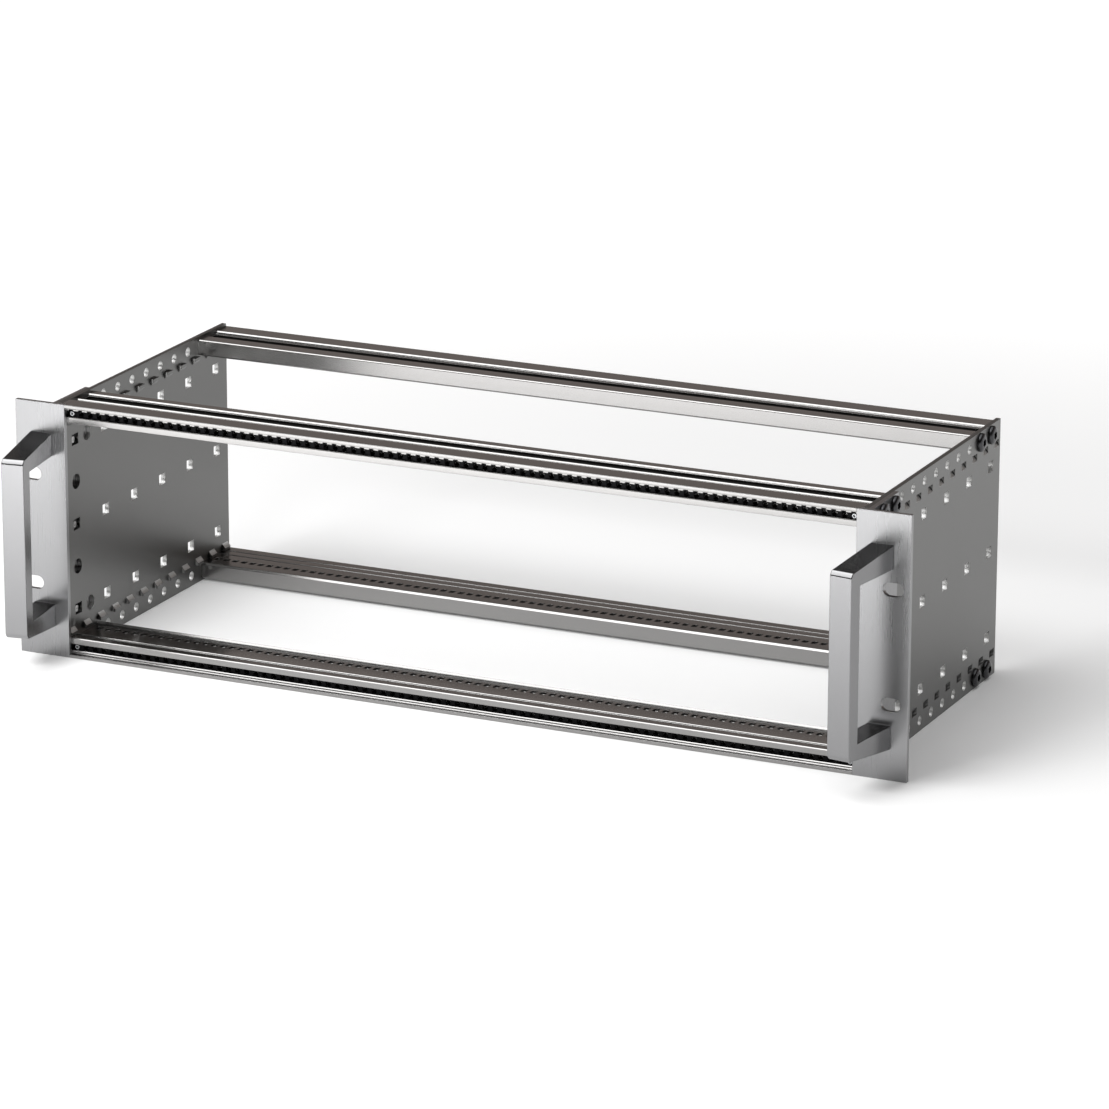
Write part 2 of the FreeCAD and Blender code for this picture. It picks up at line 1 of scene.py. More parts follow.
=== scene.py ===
# %% [markdown]
# # A card cage, dressed and lit
# A card cage holds plug-in circuit boards in a rack. Two sheet-metal side panels are tied together by
# four extruded rails, and each front corner carries an ear with a slanting handle. The solids come
# from the CAD model as a fixed frame. This script gives them soft edges, real fasteners, metal
# finishes, light and a camera, and it never moves or resizes what the frame gives.

# %% Load the frame
import math

import bmesh
import bpy
from mathutils import Matrix, Vector


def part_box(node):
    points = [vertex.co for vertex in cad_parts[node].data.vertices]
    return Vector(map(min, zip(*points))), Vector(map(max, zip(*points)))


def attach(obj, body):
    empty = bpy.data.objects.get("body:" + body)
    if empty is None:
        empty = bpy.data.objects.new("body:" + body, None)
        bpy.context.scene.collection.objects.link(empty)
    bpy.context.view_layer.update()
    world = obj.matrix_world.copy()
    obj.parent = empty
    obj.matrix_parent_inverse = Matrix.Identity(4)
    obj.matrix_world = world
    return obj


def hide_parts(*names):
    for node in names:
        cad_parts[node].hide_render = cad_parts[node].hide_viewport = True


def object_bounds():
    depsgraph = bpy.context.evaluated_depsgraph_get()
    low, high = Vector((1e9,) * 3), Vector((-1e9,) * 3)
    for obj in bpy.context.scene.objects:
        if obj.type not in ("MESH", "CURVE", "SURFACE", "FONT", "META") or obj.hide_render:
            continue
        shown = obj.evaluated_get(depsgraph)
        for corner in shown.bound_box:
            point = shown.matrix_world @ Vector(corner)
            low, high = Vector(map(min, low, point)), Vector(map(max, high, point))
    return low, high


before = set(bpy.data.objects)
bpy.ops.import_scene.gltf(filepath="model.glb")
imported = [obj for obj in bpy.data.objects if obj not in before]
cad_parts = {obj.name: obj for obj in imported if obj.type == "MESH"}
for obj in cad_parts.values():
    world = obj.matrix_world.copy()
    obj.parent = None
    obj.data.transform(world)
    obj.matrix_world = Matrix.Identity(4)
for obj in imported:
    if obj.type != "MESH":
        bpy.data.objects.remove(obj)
cad_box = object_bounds()
MM = 0.001
low, high = (Vector(corner) for corner in cad_box)
print("The cage measures", [round(side / MM, 1) for side in high - low], "mm")

# %% [markdown]
# ## Two small helpers
# Colours are written as the eye reads them, in sRGB hex, but light adds up in linear values, so one
# function converts them. Every shader and geometry tree below is built with one function that adds a
# node: settings are its plain properties, and an input is either a value or a socket to link from.

# %% Colour and node helpers
def linear(code):
    """An sRGB hex colour as linear red, green, blue and alpha."""
    parts = [int(code[start:start + 2], 16) / 255 for start in (1, 3, 5)]
    lit = [part / 12.92 if part <= 0.04045 else ((part + 0.055) / 1.055) ** 2.4 for part in parts]
    return (*lit, 1)


def add(tree, kind, settings=None, inputs=None):
    """Add a node, set its properties, and set or link its inputs."""
    node = tree.nodes.new(kind)
    for name, value in (settings or {}).items():
        setattr(node, name, value)
    for key, value in (inputs or {}).items():
        if isinstance(value, bpy.types.NodeSocket):
            tree.links.new(value, node.inputs[key])
        else:
            node.inputs[key].default_value = value
    return node


print("Mid grey in linear light:", round(linear("#808080")[0], 3))

# %% [markdown]
# ## The camera
# The picture was taken with a long lens from the right front and a little above. A long lens far away
# keeps parallel edges nearly parallel, which is what the photograph shows. A camera could be aimed by
# hand, but here it is described by its turn around the cage, its height angle and its distance, which
# were fitted to known points of the cage, and its axes are worked out from those.

# %% Set up the camera
TURN, CLIMB, ROLL = 0.43386, 0.29415, 0.0024
DISTANCE = 3.0245
FOCAL_LENGTH, SENSOR_WIDTH = 191.8, 36
FARTHEST = 200
TARGET = Vector((-0.01182, 0.14817, -0.02617))

away = Vector((math.sin(TURN) * math.cos(CLIMB), -math.cos(TURN) * math.cos(CLIMB), math.sin(CLIMB)))
level = Vector((0, 0, 1)).cross(away).normalized()
upright = away.cross(level)
right = level * math.cos(ROLL) + upright * math.sin(ROLL)
up = upright * math.cos(ROLL) - level * math.sin(ROLL)

lens = bpy.data.cameras.new("camera")
lens.lens = FOCAL_LENGTH
lens.sensor_width = SENSOR_WIDTH
lens.clip_end = FARTHEST
camera = bpy.data.objects.new("camera", lens)
bpy.context.scene.collection.objects.link(camera)
axes = Matrix((right, up, away)).transposed().to_4x4()
camera.matrix_world = Matrix.Translation(TARGET + away * DISTANCE) @ axes
bpy.context.scene.camera = camera
bpy.context.scene.view_settings.view_transform = "Standard"
print("The camera stands", round(DISTANCE, 2), "m from the cage")

# %% [markdown]
# ## The floor
# Bare metal shows what stands around it, so the floor matters twice: it carries the cage's soft
# shadow, and the front faces mirror it. It could be a curved roll of paper, but from here a large flat
# sheet looks the same. It is matt and nearly white, and a small share of glow is added for what the
# camera, mirrors and glass see. The share grows with the distance from the cage, where the lamps no
# longer reach, so that the floor reads as white paper to the horizon and keeps its shadow.

# %% Lay the floor
FLOOR_HALF = 30.0
corners = [(x * FLOOR_HALF, y * FLOOR_HALF, low.z) for x, y in ((-1, -1), (1, -1), (1, 1), (-1, 1))]
floor_mesh = bpy.data.meshes.new("floor")
floor_mesh.from_pydata(corners, [], [(0, 1, 2, 3)])
floor = bpy.data.objects.new("floor", floor_mesh)
bpy.context.scene.collection.objects.link(floor)
print("The floor lies at", round(low.z / MM, 2), "mm")

# %% Make the paper
CAGE_MIDDLE = (0, 0.09, low.z)
# Where the glow begins to grow and where it is full, in metres from the cage's middle
GLOW_FROM, GLOW_TO = 0.25, 1.1
GLOW_NEAR, GLOW_FAR = 0.09, 0.5

paper = bpy.data.materials.new("white_paper")
paper.use_nodes = True
tree = paper.node_tree
tree.nodes.clear()
path = add(tree, "ShaderNodeLightPath")
seen = add(tree, "ShaderNodeMath", {"operation": "MAXIMUM"},
           {0: path.outputs["Is Camera Ray"], 1: path.outputs["Is Glossy Ray"]})
seen = add(tree, "ShaderNodeMath", {"operation": "MAXIMUM"},
           {0: seen.outputs[0], 1: path.outputs["Is Transmission Ray"]})
place = add(tree, "ShaderNodeTexCoord")
reach = add(tree, "ShaderNodeVectorMath", {"operation": "DISTANCE"},
            {0: place.outputs["Object"], 1: CAGE_MIDDLE})
growth = add(tree, "ShaderNodeMapRange", {"interpolation_type": "SMOOTHSTEP"},
             {"Value": reach.outputs["Value"], "From Min": GLOW_FROM, "From Max": GLOW_TO,
              "To Min": GLOW_NEAR, "To Max": GLOW_FAR})
share = add(tree, "ShaderNodeMath", {"operation": "MULTIPLY"}, {0: seen.outputs[0], 1: growth.outputs[0]})
matt = add(tree, "ShaderNodeBsdfDiffuse", None, {"Color": linear("#E6E6E6")})
glow = add(tree, "ShaderNodeEmission", None, {"Color": (1, 1, 1, 1), "Strength": share.outputs[0]})
both = add(tree, "ShaderNodeAddShader", None, {0: matt.outputs[0], 1: glow.outputs[0]})
add(tree, "ShaderNodeOutputMaterial", None, {"Surface": both.outputs[0]})
floor_mesh.materials.append(paper)
print("The paper glows from", GLOW_NEAR, "near the cage to", GLOW_FAR, "far away")

# %% [markdown]
# ## The lamps
# A broad softbox hangs high at the left front. It lays the cage's shadow on the floor to the right and
# behind, and throws each handle's soft shadow across its ear. A strong lamp close to the metal would
# show as one hard spot, so the second lamp is there for the floor alone: it brightens the part in front
# that the ears and handles mirror, mirrors do not see it, and a grid keeps its light off the floor
# inside the cage.

# %% Hang the lamps
def lamp(name, place, aim, energy, width, height):
    """A rectangular lamp at a place, turned to an aim."""
    light = bpy.data.lights.new(name, "AREA")
    light.shape = "RECTANGLE"
    light.energy = energy
    light.size = width
    light.size_y = height
    holder = bpy.data.objects.new(name, light)
    holder.location = place
    holder.rotation_euler = (Vector(place) - Vector(aim)).to_track_quat("Z", "Y").to_euler()
    holder.visible_camera = False
    bpy.context.scene.collection.objects.link(holder)
    print(name, "hangs at", place)
    return holder


lamp("broad_softbox", (-0.75, -0.55, 1.7), (-0.1, -0.1, 0), 22, 1.5, 1.5)
front = lamp("front_lamp", (-0.23, -0.75, 0.55), (-0.23, -0.74, 0), 13, 0.5, 0.3)
front.visible_glossy = False
front.data.spread = math.radians(140)

# %% [markdown]
# ## The room
# The rest of the light comes from the room, painted on the world by direction. It is dim all round. A
# warm, low band at the rear is what the rails' upward faces mirror from this height, which makes them
# dark brown. Straight above it is bright, and the narrow chamfers catch that as crisp white lines. A
# photographed room would do the same, but these few tones can be set one by one.

# %% Paint the room
DIM_WALL = (0.03, 0.028, 0.027, 1)
REAR_WALL = (0.30, 0.262, 0.245, 1)
OVERHEAD = (1.25, 1.25, 1.25, 1)

room = bpy.data.worlds.new("studio")
bpy.context.scene.world = room
room.use_nodes = True
tree = room.node_tree
tree.nodes.clear()
way = add(tree, "ShaderNodeTexCoord")
parts = add(tree, "ShaderNodeSeparateXYZ", None, {0: way.outputs["Generated"]})
behind = add(tree, "ShaderNodeMapRange", {"interpolation_type": "SMOOTHSTEP"},
             {"Value": parts.outputs["Y"], "From Min": 0.1, "From Max": 0.7})
low_band = add(tree, "ShaderNodeMapRange", {"interpolation_type": "SMOOTHSTEP"},
               {"Value": parts.outputs["Z"], "From Min": 0.5, "From Max": 0.25})
rear = add(tree, "ShaderNodeMath", {"operation": "MULTIPLY"}, {0: behind.outputs[0], 1: low_band.outputs[0]})
wall = add(tree, "ShaderNodeMix", {"data_type": "RGBA"}, {0: rear.outputs[0], 6: DIM_WALL, 7: REAR_WALL})
above = add(tree, "ShaderNodeMapRange", {"interpolation_type": "SMOOTHSTEP"},
            {"Value": parts.outputs["Z"], "From Min": 0.70, "From Max": 0.80})
wall = add(tree, "ShaderNodeMix", {"data_type": "RGBA"},
           {0: above.outputs[0], 6: wall.outputs[2], 7: OVERHEAD})
light = add(tree, "ShaderNodeBackground", None, {"Color": wall.outputs[2], "Strength": 1.0})
add(tree, "ShaderNodeOutputWorld", None, {"Surface": light.outputs[0]})
print("The room is brightest overhead, at", OVERHEAD[0])

# %% [markdown]
# ## Metal finishes
# A metal has no colour of its own under the surface: what it shows is its surroundings, tinted and
# blurred. The tint is the base colour, the blur is the roughness. Extruded aluminium carries faint
# drawing lines along the bar, sheet aluminium a fine even grain. Both are noise patterns read in
# Object coordinates, stretched to a real length and width in millimetres. The true lines are a few
# hundredths of a millimetre wide, too fine to show, so they are drawn as coarse as the render needs.

# %% A function for satin metal
# Handling leaves faint patches of a few centimetres, which blur the reflections a little more or less
PATCH_SIZE = 45
PATCH_SHARE = 0.35


def satin_metal(name, colour, roughness, grain, depth, shade=0.06, spread=0.05):
    """Metal whose blur, tint and height vary with a stretched noise. Grain and depth are in mm."""
    finish = bpy.data.materials.new(name)
    finish.use_nodes = True
    tree = finish.node_tree
    tree.nodes.clear()
    place = add(tree, "ShaderNodeTexCoord")
    stretched = add(tree, "ShaderNodeMapping", None,
                    {"Vector": place.outputs["Object"], "Scale": [1 / (side * MM) for side in grain]})
    lines = add(tree, "ShaderNodeTexNoise", None,
                {"Vector": stretched.outputs[0], "Scale": 1.0, "Detail": 3.0, "Roughness": 0.6})
    patches = add(tree, "ShaderNodeTexNoise", None,
                  {"Vector": place.outputs["Object"], "Scale": 1 / (PATCH_SIZE * MM), "Detail": 2.0})
    mixed = add(tree, "ShaderNodeMix", None, {0: PATCH_SHARE, 2: lines.outputs[0], 3: patches.outputs[0]})
    blur = add(tree, "ShaderNodeMapRange", None,
               {"Value": mixed.outputs[0], "From Min": 0.3, "From Max": 0.7,
                "To Min": roughness - spread, "To Max": roughness + spread})
    base = linear(colour)
    darker = tuple(part * (1 - shade) for part in base[:3]) + (1,)
    lighter = tuple(min(part * (1 + shade), 1) for part in base[:3]) + (1,)
    sift = add(tree, "ShaderNodeMapRange", None,
               {"Value": lines.outputs[0], "From Min": 0.3, "From Max": 0.7})
    tint = add(tree, "ShaderNodeMix", {"data_type": "RGBA"}, {0: sift.outputs[0], 6: darker, 7: lighter})
    relief = add(tree, "ShaderNodeBump", None,
                 {"Strength": 1.0, "Distance": depth * MM, "Height": lines.outputs[0]})
    surface = add(tree, "ShaderNodeBsdfPrincipled", None,
                  {"Base Color": tint.outputs[2], "Metallic": 1.0, "Roughness": blur.outputs[0],
                   "Normal": relief.outputs[0]})
    add(tree, "ShaderNodeOutputMaterial", None, {"Surface": surface.outputs[0]})
    return finish


print("Patches are", PATCH_SIZE, "mm wide")

# %% Mix the finishes
ALONG_X = (80, 0.7, 0.7)
UPRIGHT = (0.7, 0.7, 40)
finishes = {
    # Satin anodised extrusion: soft, slightly streaked reflections along the bar
    "rail": satin_metal("anodised_aluminium_rail", "#959493", 0.22, ALONG_X, 0.0001, 0.02, 0.015),
    # The brackets and handles are cut from bars drawn upright, so their lines run up and down
    "bracket": satin_metal("anodised_aluminium_bracket", "#959596", 0.28, UPRIGHT, 0.0001, 0.015, 0.015),
    "handle": satin_metal("anodised_aluminium_handle", "#8A8A8B", 0.24, UPRIGHT, 0.0001, 0.015, 0.015),
    # Passivated sheet: darker, with an even fine grain without a direction
    "panel": satin_metal("passivated_aluminium_sheet", "#727271", 0.32, (0.9, 0.9, 0.9), 0.0002, 0.02, 0.02),
    # Punching bares bright metal on every cut edge of the sheet. The same bright finish on the lugs' upward
    # slopes is a painted highlight
    "cut_edge_and_highlight": satin_metal("bare_cut_aluminium", "#CACAC9", 0.5, (3, 0.3, 0.3), 0.0002, 0.03, 0.05),
    # The die leaves the inside of a deep slot rough, and its near-black colour is painted shade
    "slot": satin_metal("rough_slot_aluminium", "#262524", 0.55, ALONG_X, 0.0002, 0.05, 0.05),
    # The screws are blackened steel with a dim, soft gleam. The strips' near-black colour is painted shade of
    # the channel they sit in
    "strip": satin_metal("blackened_steel_strip", "#161617", 0.42, (20, 0.6, 0.6), 0.001),
    "screw": satin_metal("blackened_steel_screw", "#4C4C4E", 0.28, (0.6, 0.6, 0.6), 0.002),
    # Zinc plating is a little bluer and mirrors more sharply
    "set_screw": satin_metal("zinc_plated_screw", "#B4B6B8", 0.22, (0.6, 0.6, 0.6), 0.001),
    "pin": satin_metal("bright_steel_pin", "#A9A9A8", 0.25, (0.6, 0.6, 0.6), 0.001),
}
print("Finishes:", ", ".join(finish.name for finish in finishes.values()))

# %% [markdown]
# ## True rims
# To stay light, the CAD model has its small round holes as eight-sided ones. The eye catches that at
# once. New holes could be cut, but it is simpler to divide each rim and push its new points out onto
# the true circle. The rims are found by the length of their sides, which follows from the radius.

# %% Find the rims
RIM_SIDES = 8
LEVEL_WITHIN, LENGTH_WITHIN = 0.001, 0.003


def rims_of(shell, axis, radii):
    """The middle, radius and edges of each eight-sided rim of holes along an axis (0, 1 or 2)."""
    lengths = {radius: 2 * radius * MM * math.sin(math.pi / RIM_SIDES) for radius in radii}
    links = {}
    for edge in shell.edges:
        first, second = edge.verts
        if abs(first.co[axis] - second.co[axis]) > LEVEL_WITHIN * MM:
            continue
        for radius, length in lengths.items():
            if abs(edge.calc_length() - length) < LENGTH_WITHIN * MM:
                links.setdefault((first, radius), []).append(edge)
                links.setdefault((second, radius), []).append(edge)
    rims = []
    used = set()
    for (start, radius), edges in links.items():
        if start in used or len(edges) != 2:
            continue
        loop, found, point, edge = [start], [], start, edges[0]
        while edge not in found:
            found.append(edge)
            point = edge.other_vert(point)
            loop.append(point)
            edge = next((other for other in links.get((point, radius), []) if other is not edge), edge)
        if len(found) == RIM_SIDES:
            used.update(loop)
            middle = sum((corner.co for corner in loop[:RIM_SIDES]), Vector()) / RIM_SIDES
            rims.append((middle, radius * MM, found))
    return rims


print("A rim has", RIM_SIDES, "sides in the CAD model")


# %% Round the rims
RIM_CUTS = 4


def round_rims(shell, axis, radii):
    """Turn the eight-sided rims of holes into circles. Radii are in millimetres."""
    rims = rims_of(shell, axis, radii)
    sides = [edge for rim in rims for edge in rim[2]]
    parted = bmesh.ops.subdivide_edges(shell, edges=sides, cuts=RIM_CUTS)
    for point in {item for item in parted["geom_inner"] if isinstance(item, bmesh.types.BMVert)}:
        centre, radius, edges = min(rims, key=lambda rim: (point.co - rim[0]).length)
        point.co = centre + (point.co - centre).normalized() * radius
    return len(rims)


print("A rounded rim has", RIM_SIDES * (RIM_CUTS + 1), "sides")

# %% [markdown]
# ## A copy to work on
# A node of the frame is left as it is, and a copy takes its place. The node is loose triangles, so the
# copy is merged first and its flat areas are joined again. Then edges and faces can be found by where
# they lie, as on the drawing.

# %% Copy and merge
MERGE_WITHIN = 0.002
FLAT_WITHIN = math.radians(0.5)


def merged_copy(node):
    """A copy of a CAD node with its triangles merged and its flat areas joined."""
    shell = bmesh.new()
    shell.from_mesh(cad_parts[node].data)
    bmesh.ops.remove_doubles(shell, verts=shell.verts, dist=MERGE_WITHIN * MM)
    bmesh.ops.dissolve_limit(shell, angle_limit=FLAT_WITHIN, verts=shell.verts, edges=shell.edges)
    return shell


print("The frame has", len(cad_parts), "nodes")

# %% [markdown]
# ## Cut edges of the side panels
# The sheet is finished before it is punched, so the walls of its holes are bare and bright. The lugs'
# slopes that face up get the same bright finish as a painted highlight. They could be painted by a mask,
# but the walls and slopes are faces of their own, so it is enough to give those faces a second material.

# %% Find the bare faces
# A wall goes through most of the sheet, is small, and lies behind the front flange. Sizes are in mm
WALL_REACH, LARGEST_WALL, FLANGE_HIDES = 2.2, 60, 20
# A face's normal is read as its share along X or Z, which is 1 where it points straight that way
WALL_TURN, SLOPE_TURN = 0.05, 0.5


def bare_cuts(shell):
    """Mark the walls of the holes cut through a side panel, and paint a highlight on the upward slopes of its
    lugs.
    """
    for face in shell.faces:
        across = [abs(point.co.x) for point in face.verts]
        wall = max(across) - min(across) > WALL_REACH * MM and abs(face.normal.x) < WALL_TURN
        wall = wall and face.calc_area() < LARGEST_WALL * MM * MM
        wall = wall and face.calc_center_median().y > FLANGE_HIDES * MM
        # The lugs' upward slopes take the bright finish as a painted highlight
        highlight_slope = face.normal.z > SLOPE_TURN and abs(face.normal.x) > SLOPE_TURN
        face.material_index = int(wall or highlight_slope)


print("The walls of holes are marked from", FLANGE_HIDES, "mm behind the ears")

# %% [markdown]
# ## Deep places of the rails
# The rails' perforations and outer grooves look black in the photograph, because little light gets back
# out of them. The CAD model has them shallow. Their floors are sunk, so that they are dark from every
# side. The walls and floor of each sunk slot are also painted near black, as painted shade.

# %% Sink the perforations and grooves
POCKET_SINK, SLOT_SINK = 2.2, 3.4
# How the floors are known: by their area, or by their height, and because they lie level
POCKET_AREA = (11, 12.5)
GROOVE_HEIGHT = (63.8, 64.0)
LIES_LEVEL = 0.99
# The slot is cut off short of the side panels, so its ends stay closed. Lengths are in mm
SLOT_HALF, SLOT_INSIDE = 214, 213


def deep_pockets(shell):
    """Sink the floors of a rail's small rectangular perforations."""
    smallest, largest = POCKET_AREA
    floors = [face for face in shell.faces
              if abs(face.normal.z) > LIES_LEVEL and smallest < face.calc_area() / MM ** 2 < largest]
    for face in floors:
        bmesh.ops.translate(shell, verts=face.verts, vec=-POCKET_SINK * MM * face.normal)
    print(len(floors), "perforations sunk")


def deep_groove(shell, near, far):
    """Sink a slot into a rail's outer groove between two depths in mm, and give its walls and floor the
    painted-shade finish.
    """
    side = math.copysign(1, sum(vertex.co.z for vertex in shell.verts))
    lowest, highest = GROOVE_HEIGHT
    parts = [face for face in shell.faces
             if face.normal.z * side > LIES_LEVEL
             and lowest < abs(face.calc_center_median().z) / MM < highest]
    for axis, place in ((1, near), (1, far), (0, -SLOT_HALF), (0, SLOT_HALF)):
        point = Vector((0, 0, 0))
        point[axis] = place * MM
        facing = Vector((0, 0, 0))
        facing[axis] = 1
        around = {item for face in parts for item in (face, *face.edges, *face.verts)}
        cut = bmesh.ops.bisect_plane(shell, geom=list(around), plane_co=point, plane_no=facing,
                                     dist=0.001 * MM)
        parts = [item for item in cut["geom"] if isinstance(item, bmesh.types.BMFace)]
    inner = [face for face in parts if near < face.calc_center_median().y / MM < far
             and abs(face.calc_center_median().x) < SLOT_INSIDE * MM]
    sunk = bmesh.ops.extrude_face_region(shell, geom=inner)
    points = [item for item in sunk["geom"] if isinstance(item, bmesh.types.BMVert)]
    bmesh.ops.translate(shell, verts=points, vec=Vector((0, 0, -SLOT_SINK * MM * side)))
    # The slot's walls and floor take the second, near-black finish: painted shade
    for face in {face for point in points for face in point.link_faces}:
        face.material_index = 1
    bmesh.ops.delete(shell, geom=[face for face in inner if face.is_valid], context="FACES_ONLY")
    print(len(inner), "groove floors sunk between", near, "and", far, "mm")


print("Perforations are sunk by", POCKET_SINK, "mm and slots by", SLOT_SINK, "mm")

# %% [markdown]
# ## Flat chamfers of the rails
# An extruded bar has small flat chamfers along its lines. One that faces up and to the front mirrors
# the light overhead along its whole length, as one crisp white line. A round bevel would break that
# line up, because only a hair's breadth of it faces the right way.

# %% Cut the chamfers
# Lines of the rails with a flat chamfer, as depth, height and width in mm
RAIL_CHAMFERS = (
    (2.5, 66.28, 0.4), (17.2, 64.98, 0.5), (28.4, 64.98, 0.6), (2.5, 59.65, 0.4), (2.5, 56.38, 0.45),
    (2.5, 62.85, 0.4), (7.8, 57.08, 0.3), (12.0, 57.08, 0.3), (33.3, 56.67, 0.9), (165.8, 64.98, 0.6))
FOUND_WITHIN, LONG_LINE = 0.06, 100


def middle_of(line):
    """The middle of an edge, in millimetres."""
    return (line.verts[0].co + line.verts[1].co) / 2 / MM


def chamfer_rails(shell):
    """Cut the flat chamfers, on the edges that face up and to the front. Returns the new faces."""
    cut_faces = set()
    for depth, height, width in RAIL_CHAMFERS:
        lines = []
        for line in shell.edges:
            middle = middle_of(line)
            here = abs(middle.y - depth) < FOUND_WITHIN and abs(abs(middle.z) - height) < FOUND_WITHIN
            if here and line.is_manifold and line.calc_length() > LONG_LINE * MM:
                facing = line.link_faces[0].normal + line.link_faces[1].normal
                if facing.y < -0.5 and facing.z > 0.5:
                    lines.append(line)
        if lines:
            cut = bmesh.ops.bevel(shell, geom=lines, offset=width * MM, offset_type="OFFSET", segments=1,
                                  profile=0.5, affect="EDGES", clamp_overlap=False)
            cut_faces.update(cut["faces"])
    print(len(cut_faces), "flat chamfers cut")
    return cut_faces


print(len(RAIL_CHAMFERS), "lines of the rails have a flat chamfer")

# %% [markdown]
# ## Soft edges
# No machined part has perfectly sharp edges, and a thin bright line along each edge is much of what
# makes metal look real. One bevel of one width would be too wide for the small edges, so each edge is
# given its own width as a weight: outer edges sharper than thirty degrees are rounded, inner corners
# stay sharp, and a rail's long lines take a wider bevel than its short ones. The shading is then
# weighted by face size, so that large faces stay truly flat.

# %% Choose a width for each edge
SHARP_FROM = math.radians(30)
# A line beside a flat chamfer, on the thin ridge or on a bead has room for a hair's breadth only, in mm
THIN_EDGE = 0.05
RIDGE_DEPTH, RIDGE_HALF = 17.5, 0.6
BEAD_HEIGHT, BEAD_HALF = 57.08, 0.4


def edge_width(line, edge, long_edge, chamfers):
    """How wide the round bevel of an edge is, in mm. Inner corners stay sharp."""
    if not line.is_manifold or not line.is_convex or line.calc_face_angle() < SHARP_FROM:
        return 0
    if not long_edge or line.calc_length() < LONG_LINE * MM:
        return edge
    middle = middle_of(line)
    thin = abs(middle.y - RIDGE_DEPTH) < RIDGE_HALF or abs(abs(middle.z) - BEAD_HEIGHT) < BEAD_HALF
    thin = thin or any(face in chamfers for face in line.link_faces)
    return THIN_EDGE if thin else long_edge


print("Outer edges are rounded from", round(math.degrees(SHARP_FROM)), "degrees")


# %% Bevel, flatten and hand over
def finished(piece, slot, *nodes):
    bpy.context.view_layer.update()
    seen = piece.evaluated_get(bpy.context.evaluated_depsgraph_get())
    plain = bpy.data.meshes.new_from_object(seen)
    plain.name = piece.name
    if not piece.data.materials:
        plain.materials.clear()
        plain.materials.append(finishes[slot])
    piece.modifiers.clear()
    piece.data = plain
    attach(piece, "root")
    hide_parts(*nodes)
    plain.calc_loop_triangles()
    print(piece.name, len(plain.loop_triangles), "triangles,", [finish.name for finish in plain.materials])
    return piece


def softened(node, looks, edge, long_edge=None, change=None, cutter=None):
    """A bevelled copy of a CAD node that takes its place. Edges are bevel widths in millimetres."""
    shell = merged_copy(node)
    if change:
        change(shell)
    shell.normal_update()
    chamfers = chamfer_rails(shell) if long_edge else set()
    shell.normal_update()
    weight = shell.edges.layers.float.new("bevel_weight_edge")
    for line in shell.edges:
        line[weight] = edge_width(line, edge, long_edge, chamfers)
    mesh = bpy.data.meshes.new(f"{node}_soft")
    shell.to_mesh(mesh)
    shell.free()
    mesh.shade_smooth()
    for look in looks:
        mesh.materials.append(finishes[look])
    piece = bpy.data.objects.new(f"{node}_soft", mesh)
    bpy.context.scene.collection.objects.link(piece)
    if cutter:
        cutter(piece)
    bevel = piece.modifiers.new("soft_edges", "BEVEL")
    bevel.width = MM
    bevel.segments = 2
    bevel.limit_method = "WEIGHT"
    bevel.use_clamp_overlap = False
    weigh = piece.modifiers.new("flat_faces", "WEIGHTED_NORMAL")
    weigh.mode = "FACE_AREA"
    weigh.weight = 100
    return finished(piece, looks[0], node)


# %% [markdown]
# ## Notches in the top rail
# The upper lip of the top front rail's channel has a small notch at every unit of width, where a
# module's screw passes. Cutting eighty-four notches by hand would be slow to change, so a Geometry
# Nodes tree makes the whole row of blocks from a count and a pitch and cuts it away from the rail.

# %% Build and use geometry trees
def new_tree(name, inputs):
    """A geometry tree with named inputs and one output. Returns the tree and its input node."""
    tree = bpy.data.node_groups.new(name, "GeometryNodeTree")
    for label, kind in inputs:
        tree.interface.new_socket(label, in_out="INPUT", socket_type=kind)
    tree.interface.new_socket("Geometry", in_out="OUTPUT", socket_type="NodeSocketGeometry")
    return tree, add(tree, "NodeGroupInput")


def use_tree(piece, tree, values):
    """Shape an object by a geometry tree, with the tree's inputs set by their identifiers."""
    modifier = piece.modifiers.new("made_by_rule", "NODES")
    modifier.node_group = tree
    for item in tree.interface.items_tree:
        if item.in_out == "INPUT" and item.name in values:
            modifier[item.identifier] = values[item.name]


UNIT_PITCH, UNIT_COUNT = 5.08, 84
FIRST_UNIT = -UNIT_PITCH * (UNIT_COUNT - 1) / 2
print("The first unit is at", round(FIRST_UNIT, 2), "mm")

# %% Build the tree that cuts a row of notches
notch_tree, given = new_tree("row_of_notches", (
    ("Rail", "NodeSocketGeometry"), ("Count", "NodeSocketInt"), ("Pitch", "NodeSocketVector"),
    ("Start", "NodeSocketVector"), ("Size", "NodeSocketVector"), ("Finish", "NodeSocketMaterial")))
line = add(notch_tree, "GeometryNodeMeshLine", None,
           {"Count": given.outputs["Count"], "Start Location": given.outputs["Start"],
            "Offset": given.outputs["Pitch"]})
block = add(notch_tree, "GeometryNodeMeshCube", None, {"Size": given.outputs["Size"]})
blocks = add(notch_tree, "GeometryNodeInstanceOnPoints", None,
             {"Points": line.outputs["Mesh"], "Instance": block.outputs["Mesh"]})
solid = add(notch_tree, "GeometryNodeRealizeInstances", None, {0: blocks.outputs[0]})
dressed = add(notch_tree, "GeometryNodeSetMaterial", None,
              {"Geometry": solid.outputs[0], "Material": given.outputs["Finish"]})
cut = add(notch_tree, "GeometryNodeMeshBoolean", {"operation": "DIFFERENCE", "solver": "EXACT"},
          {"Mesh 1": given.outputs["Rail"], "Mesh 2": dressed.outputs[0]})
real = add(notch_tree, "GeometryNodeRealizeInstances", None, {0: cut.outputs["Mesh"]})
same = add(notch_tree, "GeometryNodeMaterialSelection", None, {"Material": given.outputs["Finish"]})
